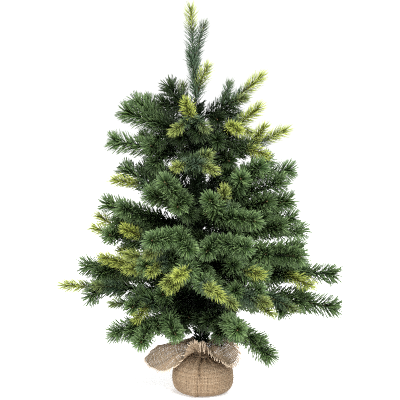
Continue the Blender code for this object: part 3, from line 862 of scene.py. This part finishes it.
def weave_mesh(name, points, keep, tints, place, material):
    """A mesh of a grid of points, without its holes and without what isn't kept."""
    columns, rows = keep.shape
    i, j = np.meshgrid(np.arange(columns - 1), np.arange(rows - 1), indexing="ij")
    whole = keep[:-1, :-1] & keep[1:, :-1] & keep[:-1, 1:] & keep[1:, 1:]
    whole &= ~((i % 3 == 2) & (j % 3 == 2))
    i, j = i[whole], j[whole]
    first = i * rows + j
    corners = np.stack([first, first + rows, first + rows + 1, first + 1], 1)
    used, corners = np.unique(corners, return_inverse=True)
    corners = corners.reshape(-1, 4)
    mesh = bpy.data.meshes.new(name)
    mesh.from_pydata(points.reshape(-1, 3)[used].tolist(), [], corners.tolist())
    mesh.polygons.foreach_set("use_smooth", np.ones(len(corners), bool))
    add_tints(mesh, np.concatenate([tints.reshape(-1, 3)[used], np.ones((len(used), 1))], axis=1))
    add_tiles(mesh, place.reshape(-1, 2)[used][corners.ravel()])
    mesh.materials.append(material)
    return mesh


def add_strand(build, line, radii, sides, tone, painted_highlight=0.0):
    """A round strand of yarn along a line of points; its last argument, from 0 to 1, makes it paler as a
    painted highlight.
    """
    slope = unit(np.gradient(line, axis=0))
    across = across_line(slope, line[-1] - line[0] + 1e-9, 0.7)
    add_tube(build, line, across, radii, sides, 0, (tone, 0.6 + 0.4 * painted_highlight, None, 1.0))


def quadratic(start, control, end, count):
    return bezier(start, control, end)(np.linspace(0, 1, count)[:, None])


def make_fringe(cloth, cut, material):
    """The free edge's bare warp yarns, drawn into bundles in front, and loose fibres."""
    rng = np.random.default_rng(SEED + 101)
    build = Builder()
    warps = len(cut)
    across = (np.arange(warps) + 0.5) * YARN_PITCH
    root = cloth.sample(cloth.points, across, cut - 0.0012)
    onward = unit(cloth.sample(cloth.slopes, across, cut))
    azimuth = cloth.along_edge(cloth.azimuths, across)
    size = cloth.along_edge(cloth.collar[:, 4], across) * MM
    hang = cloth.along_edge(cloth.collar[:, 5], across)
    for k in range(warps):
        out, side = directions(azimuth[k])
        drawn = max(hang[k], 0.0)
        bundle = math.radians(round(azimuth[k] / BUNDLE_TURN) * BUNDLE_TURN - azimuth[k]) * 0.034
        for _ in range(3 if hang[k] > 0.8 else 2):
            length = size[k] * rng.uniform(0.6, 1.15)
            drift = side * (rng.normal(0, 0.22) * length * (1 - 0.8 * drawn))
            drift = drift + side * bundle * drawn
            start = root[k] + side * rng.normal(0, 0.0004)
            control = start + onward[k] * length * 0.45 + out * (0.3 * drawn * 0.010)
            end = start + (onward[k] * (1 - 0.75 * abs(hang[k])) - UP * hang[k] * 0.9) * length
            end = end + out * 0.25 * drawn * length + drift
            control = control + rng.normal(0, 0.08, 3) * length
            line = quadratic(start, control, end, FRINGE_STEPS)
            twist = 1 + 0.16 * np.sin(np.arange(FRINGE_STEPS) * 2.4 + k)
            radii = np.linspace(*FRINGE_RADII, FRINGE_STEPS) * twist
            # Painted highlight: the fringe's strands get the full pale highlight colour.
            add_strand(build, line, radii, 5, rng.uniform(0.6, 1.0), 1.0)
    add_fibres(build, cloth, cut, rng)
    fringe = add_piece("hessian_fringe", build.mesh("hessian_fringe", [material]), "base")
    return fringe


def add_fibres(build, cloth, cut, rng):
    """Fine loose fibres that stand off the cloth."""
    for _ in range(FIBRES):
        k = rng.integers(len(cut))
        across = np.array([(k + rng.uniform(0, 1)) * YARN_PITCH])
        up = np.array([rng.uniform(0.035, cut[k])])
        start = cloth.sample(cloth.points, across, up)[0]
        normal = cloth.sample(cloth.normals, across, up)[0]
        length = rng.uniform(0.003, 0.008)
        end = start + unit(normal * 0.45 + rng.normal(0, 0.6, 3)) * length
        control = (start + end) / 2 + normal * length * 0.3
        end[2] = max(end[2], 0.001)
        line = quadratic(start, control, end, 5)
        add_strand(build, line, np.linspace(*FIBRE_RADII, 5), 3, rng.uniform(0.4, 1.0))


def make_tie(material):
    """Two-strand twine round the neck, knotted at the back, with two short ends."""
    low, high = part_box("wrap_tie")
    middle = (low.z + high.z) / 2
    reach = (high.x - low.x) / 2 - TWINE_HALF
    build = Builder()
    turn = np.linspace(0, math.tau, 160)
    for strand in (0.0, math.pi):
        spin = turn * TWINE_TWISTS + strand
        out = reach + TWINE_HALF * 0.5 * np.cos(spin)
        rise = middle + TWINE_HALF * 0.5 * np.sin(spin)
        line = np.stack([out * np.cos(turn), out * np.sin(turn), rise], -1)
        add_strand(build, line, np.full(len(line), TWINE_HALF * 0.52), 6, 0.5 + 0.2 * strand / math.pi)
    t = np.linspace(0, math.tau, 60)
    knot = np.stack([np.sin(t) + 2 * np.sin(2 * t), -np.sin(3 * t), np.cos(t) - 2 * np.cos(2 * t)], -1)
    centre = np.array([0.0, reach + 0.0018, middle])
    add_strand(build, centre + knot * 0.0008, np.full(60, 0.0008), 6, 0.6)
    for side in (-1, 1):
        end = centre + np.array([side * 0.009, 0.008, -0.010 - 0.003 * side])
        control = centre + np.array([side * 0.006, 0.007, 0.002])
        add_strand(build, quadratic(centre, control, end, 14), np.full(14, 0.00085), 6, 0.7)
    tie = add_piece("twine_tie", build.mesh("twine_tie", [material]), "base")
    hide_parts("wrap_tie")


def make_hessian():
    material = hessian_material()
    cloth = Cloth()
    sheet, cut = make_cloth(cloth, material)
    fringe = make_fringe(cloth, cut, material)
    make_tie(material)


# --- Materials ----------------------------------------------------------------


def node(tree, kind, **settings):
    made = tree.nodes.new(kind)
    for key, value in settings.items():
        setattr(made, key, value)
    return made


def set_inputs(made, values):
    for name, value in values.items():
        made.inputs[name].default_value = value


class Look:
    """A material made of nodes. A colour is three numbers or a socket, and a share is a
    number or a socket, from 0 to 1."""

    def __init__(self, name, roughness, metallic=0.0, specular=0.5):
        self.material = bpy.data.materials.new(name)
        self.material.use_nodes = True
        self.tree = self.material.node_tree
        self.shader = self.tree.nodes["Principled BSDF"]
        gloss = {"Roughness": roughness, "Metallic": metallic, "Specular IOR Level": specular}
        set_inputs(self.shader, gloss)

    def mix(self, share, first, second):
        """The first colour where share is 0, the second where it is 1."""
        made = node(self.tree, "ShaderNodeMix", data_type="RGBA", blend_type="MIX")
        for place, value in ((0, share), (6, first), (7, second)):
            socket = made.inputs[place]
            if isinstance(value, bpy.types.NodeSocket):
                self.tree.links.new(value, socket)
            else:
                socket.default_value = (*value, 1.0) if isinstance(value, tuple) else value
        return made.outputs[2]

    def toward(self, share, colour, amount, other):
        """A colour drawn towards another by an amount where share is 1."""
        return self.mix(share, colour, self.mix(amount, colour, other))

    def ramp(self, value, low, high):
        """A value stretched from low..high to 0..1."""
        made = node(self.tree, "ShaderNodeMapRange")
        set_inputs(made, {"From Min": low, "From Max": high})
        self.tree.links.new(value, made.inputs["Value"])
        return made.outputs["Result"]

    def placed(self, texture):
        """A texture's values where it is laid by the object's own coordinates."""
        place = node(self.tree, "ShaderNodeTexCoord")
        self.tree.links.new(place.outputs["Object"], texture.inputs["Vector"])
        return texture.outputs["Fac"]

    def noise(self, scale, detail=3.0):
        made = node(self.tree, "ShaderNodeTexNoise")
        set_inputs(made, {"Scale": scale, "Detail": detail})
        return self.placed(made)

    def patches(self, scale, low, high, detail=3.0):
        return self.ramp(self.noise(scale, detail), low, high)

    def tints(self):
        """The four channels of the points' tint."""
        tint = node(self.tree, "ShaderNodeAttribute", attribute_name="tint")
        split = node(self.tree, "ShaderNodeSeparateColor")
        self.tree.links.new(tint.outputs["Color"], split.inputs["Color"])
        return *(split.outputs[name] for name in ("Red", "Green", "Blue")), tint.outputs["Alpha"]

    def finish(self, colour, bump=None, strength=0.0, depth=0.0):
        """The material in its colour, with the heights of its bump."""
        self.tree.links.new(colour, self.shader.inputs["Base Color"])
        if bump is not None:
            made = node(self.tree, "ShaderNodeBump")
            set_inputs(made, {"Strength": strength, "Distance": depth})
            self.tree.links.new(bump, made.inputs["Height"])
            self.tree.links.new(made.outputs["Normal"], self.shader.inputs["Normal"])
        return self.material


def pvc_material():
    """Cut ribbon needles: two greens mixed, with a painted highlight that makes each needle paler towards its
    tip, and painted shade at its base and inside the tree.
    """
    look = Look("pvc_needles_look", 0.42, specular=0.28)
    along, shade, chance, tone = look.tints()
    green = look.mix(look.ramp(chance, 0.15, 0.80), (0.013, 0.037, 0.008), (0.085, 0.155, 0.030))
    green = look.mix(look.ramp(chance, 0.80, 0.95), green, (0.210, 0.300, 0.115))
    green = look.toward(look.ramp(tone, 0.45, 1.0), green, 0.4, (0.10, 0.20, 0.07))
    green = look.toward(look.ramp(tone, 0.45, 0.0), green, 0.4, (0.015, 0.045, 0.020))
    green = look.toward(look.patches(38.0, 0.5, 0.75), green, 0.5, (0.045, 0.110, 0.035))
    # Painted highlight: each needle is drawn paler towards its tip.
    green = look.toward(look.ramp(along, 0.25, 1.0), green, 0.38, (0.23, 0.33, 0.15))
    # Painted shade: each needle is drawn darker towards its base, down among the others.
    green = look.toward(look.ramp(along, 0.40, 0.0), green, 0.60, (0.006, 0.015, 0.005))
    # Painted shade: ribbons near the pole, and all of the garland, are drawn almost black through the shade
    # channel.
    return look.finish(look.toward(shade, green, 0.92, (0.002, 0.007, 0.002)))


def pe_material():
    """Moulded needles: grey-green old growth that turns lime at the new tips."""
    look = Look("pe_needles_look", 0.45, specular=0.3)
    along, lime, chance, tone = look.tints()
    old = look.mix(chance, (0.030, 0.058, 0.032), (0.120, 0.170, 0.105))
    old = look.toward(tone, old, 0.35, (0.05, 0.12, 0.04))
    new = look.mix(chance, (0.27, 0.34, 0.045), (0.54, 0.60, 0.13))
    # Painted shade: new and old needles are drawn darker towards their bases, where they crowd round the
    # stem.
    tip = look.ramp(along, 0.10, 0.95)
    new = look.mix(tip, look.mix(0.75, new, (0.09, 0.11, 0.02)), new)
    old = look.mix(tip, look.mix(0.4, old, (0.02, 0.03, 0.015)), old)
    old = look.toward(look.ramp(along, 0.6, 1.0), old, 0.35, (0.22, 0.30, 0.20))
    old = look.toward(look.patches(60.0, 0.3, 0.7), old, 0.4, (0.03, 0.07, 0.04))
    return look.finish(look.mix(lime, old, new))


def wire_material():
    """Twisted wire in brown paper and green dye, and the sprigs' olive stems."""
    look = Look("wire_look", 0.6)
    along, stem, _, tone = look.tints()
    brown = look.mix(look.ramp(tone, 0.55, 0.60), (0.030, 0.050, 0.018), (0.17, 0.10, 0.035))
    brown = look.mix(look.ramp(along, 0.7, 1.0), (0.020, 0.030, 0.012), brown)
    olive = look.mix(along, (0.12, 0.075, 0.025), (0.22, 0.18, 0.04))
    grain = look.patches(900.0, 0.3, 0.7, 2.0)
    colour = look.mix(stem, brown, olive)
    return look.finish(look.toward(grain, colour, 0.4, (0.01, 0.01, 0.005)))


def hessian_material():
    """Jute yarns, each its own straw colour, darker down between them as painted shade, and fibrous; the
    fringe's strands carry a pale painted highlight.
    """
    look = Look("hessian_look", 0.95, specular=0.12)
    tone, height, _, _ = look.tints()
    straw = look.mix(tone, (0.29, 0.205, 0.130), (0.51, 0.400, 0.280))
    # Painted highlight: the straw turns pale above 0.7 in the second channel, which only the fringe's strands
    # reach.
    straw = look.mix(look.ramp(height, 0.7, 1.0), straw, (0.95, 0.79, 0.61))
    straw = look.toward(look.patches(90.0, 0.35, 0.75), straw, 0.4, (0.30, 0.19, 0.105))
    fibre = look.patches(1500.0, 0.35, 0.7, 5.0)
    straw = look.mix(fibre, look.mix(0.5, straw, (0.17, 0.10, 0.05)), straw)
    # Painted shade: the low parts of the weave, the yarns underneath and the holes, are drawn darker.
    deep = look.mix(0.5, straw, (0.12, 0.075, 0.045))
    straw = look.mix(look.ramp(height, 0.0, 0.40), deep, straw)
    return look.finish(straw, look.noise(2200.0, 4.0), 0.5, 0.0003)


def cement_material():
    look = Look("cement_look", 0.92, specular=0.2)
    grain = look.patches(420.0, 0.3, 0.7, 8.0)
    colour = look.mix(grain, (0.20, 0.19, 0.17), (0.46, 0.45, 0.42))
    colour = look.toward(look.patches(45.0, 0.45, 0.7), colour, 0.35, (0.14, 0.12, 0.10))
    return look.finish(colour, look.noise(700.0, 6.0), 0.6, 0.0005)


def plastic_material():
    look = Look("pot_plastic_look", 0.5, specular=0.4)
    mottle = look.patches(160.0, 0.3, 0.7, 4.0)
    colour = look.mix(mottle, (0.028, 0.017, 0.011), (0.052, 0.034, 0.022))
    return look.finish(colour, look.noise(900.0, 2.0), 0.25, 0.0002)


def steel_material():
    look = Look("pole_steel_look", 0.38, metallic=1.0)
    scuffs = look.patches(600.0, 0.4, 0.7, 5.0)
    colour = look.mix(scuffs, (0.34, 0.34, 0.33), (0.56, 0.56, 0.55))
    return look.finish(colour, look.noise(1400.0, 3.0), 0.2, 0.0001)


def tape_material():
    """Dark green floral tape: crinkled, wound on in slanting bands."""
    look = Look("tape_look", 0.7, specular=0.25)
    wave = node(look.tree, "ShaderNodeTexWave", wave_type="BANDS", bands_direction="Z")
    set_inputs(wave, {"Scale": 28.0, "Distortion": 1.2})
    bands = look.placed(wave)
    crinkle = look.patches(700.0, 0.3, 0.7, 5.0)
    colour = look.mix(crinkle, (0.004, 0.011, 0.004), (0.012, 0.030, 0.010))
    colour = look.mix(look.ramp(bands, 0.85, 1.0), colour, (0.020, 0.045, 0.016))
    return look.finish(colour, bands, 0.4, 0.0003)


def dress_node(name, material):
    """Gives a CAD node that stays its finished material."""
    for slot in bpy.data.objects[name].material_slots:
        slot.material = material


# --- Camera, light and floor --------------------------------------------------


def aim(made, place, target):
    made.location = place
    made.rotation_euler = (Vector(target) - Vector(place)).to_track_quat("-Z", "Y").to_euler()


def make_camera():
    data = bpy.data.cameras.new("camera")
    data.sensor_width = 36.0
    data.angle = math.radians(CAMERA_ANGLE)
    camera = add_object("camera", data)
    aim(camera, CAMERA_PLACE, CAMERA_TARGET)
    bpy.context.scene.camera = camera


def make_light():
    for name, (place, size, power) in LAMPS.items():
        data = bpy.data.lights.new(name, "AREA")
        data.shape = "DISK"
        data.size = size
        data.energy = power
        aim(add_object(name, data), place, LIT_MIDDLE)
    data = bpy.data.lights.new("sun", "SUN")
    data.angle = math.radians(SUN_WIDTH)
    data.energy = SUN_STRENGTH
    add_object("sun", data).rotation_euler = [math.radians(angle) for angle in SUN_TURN]


def make_sky():
    """Even light from all round, and a white sky behind."""
    world = bpy.data.worlds.new("world")
    world.use_nodes = True
    tree = world.node_tree
    sky = tree.nodes["Background"]
    sky.inputs["Color"].default_value = (1, 1, 1, 1)
    seen = node(tree, "ShaderNodeLightPath")
    strength = node(tree, "ShaderNodeMapRange")
    set_inputs(strength, SKY_STRENGTH)
    tree.links.new(seen.outputs["Is Camera Ray"], strength.inputs["Value"])
    tree.links.new(strength.outputs["Result"], sky.inputs["Strength"])
    bpy.context.scene.world = world


def make_film():
    scene = bpy.context.scene
    scene.view_settings.view_transform = "Standard"
    scene.cycles.filter_width = 1.1
    scene.cycles.use_denoising = False


def make_floor():
    mesh = bpy.data.meshes.new("floor")
    corners = [(x * FLOOR_HALF, y * FLOOR_HALF, 0) for x, y in ((-1, -1), (1, -1), (1, 1), (-1, 1))]
    mesh.from_pydata(corners, [], [(0, 1, 2, 3)])
    floor = add_object("floor", mesh)
    look = Look("floor_white", 0.9)
    white = {"Base Color": (0.80, 0.80, 0.80, 1.0), "Emission Color": (1.0, 1.0, 1.0, 1.0)}
    set_inputs(look.shader, {**white, "Emission Strength": 0.35})
    mesh.materials.append(look.material)
    floor.location.z = -0.0002


make_camera()
make_light()
make_sky()
make_film()
make_floor()
needle_materials = [pvc_material(), pe_material(), wire_material()]
make_foliage(needle_materials)
make_garland(needle_materials)
make_hessian()
dress_node("base_weight", cement_material())
dress_node("base_pot", plastic_material())
dress_node("trunk_pole", steel_material())
dress_node("trunk_tape", tape_material())
